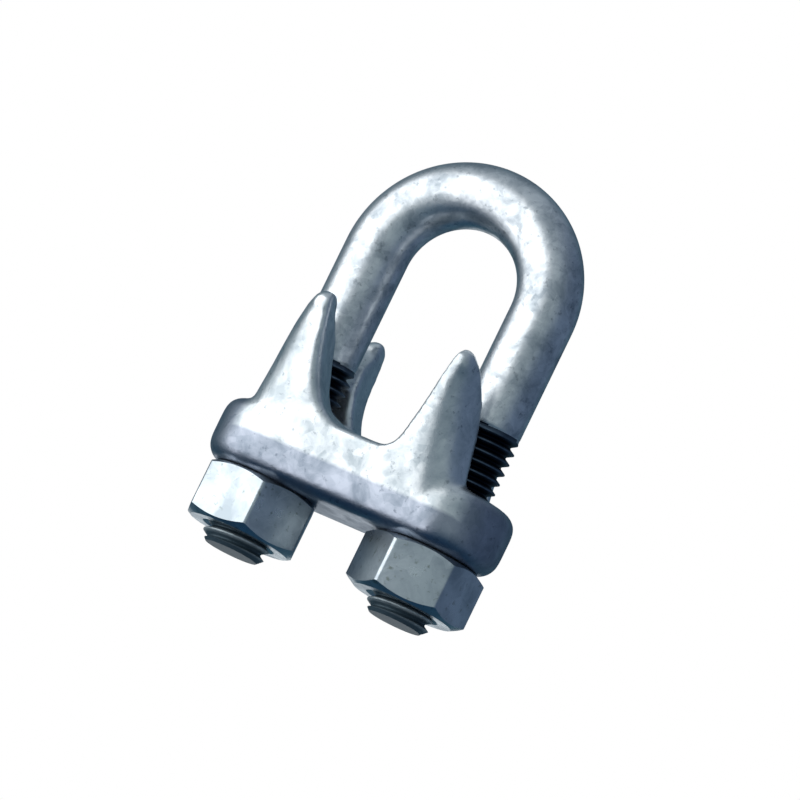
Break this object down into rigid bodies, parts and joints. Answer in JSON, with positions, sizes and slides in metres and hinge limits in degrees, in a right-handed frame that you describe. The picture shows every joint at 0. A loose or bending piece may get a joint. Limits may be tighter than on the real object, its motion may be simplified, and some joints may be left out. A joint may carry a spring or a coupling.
{
  "type": "wire rope clip",
  "caption": "U-bolt rope clip: a forged saddle with horns rides on two threaded legs and is drawn up by hex nuts to grip two strands of wire rope.",
  "frame": {"origin": "middle of the rope seat's axis, where a 10 mm rope's centre lies in the saddle", "axes": "+Z along the legs towards the bow, +Y along the rope, +X from the left leg to the right leg"},
  "size_m": [0.0372, 0.024, 0.0532],
  "materials": {
    "galvanised_bar": "hot-dip galvanised steel bar, mottled satin zinc, with dark oiled threads",
    "galvanised_forging": "hot-dip galvanised forging, soft bright zinc over a slightly rough skin",
    "plated_nut": "zinc-plated hex nut, smooth satin"
  },
  "bodies": {
    "u_bolt": {"u_bolt": "galvanised_bar"},
    "saddle": {"saddle": "galvanised_forging"},
    "nut_left": {"nut_left": "plated_nut"},
    "nut_right": {"nut_right": "plated_nut"}
  },
  "joints": [
    {"name": "saddle_slide", "type": "slide", "parent": "u_bolt", "child": "saddle", "axis": [0, 0, 1], "range_m": [-0.00725, 0.015]},
    {"name": "nut_right_turn", "type": "hinge", "parent": "saddle", "child": "nut_right", "pos_m": [0.0108, 0, -0.0169], "axis": [0, 0, 1], "range_deg": [-2090, 4322]},
    {"name": "nut_left_turn", "type": "hinge", "parent": "saddle", "child": "nut_left", "pos_m": [-0.0108, 0, -0.0169], "axis": [0, 0, 1], "range_deg": [-2090, 4322]}
  ],
  "couplings": [
    {"joint": "nut_right_turn", "follows": "saddle_slide", "rad_per_m": 5026.5},
    {"joint": "nut_left_turn", "follows": "saddle_slide", "rad_per_m": 5026.5}
  ]
}
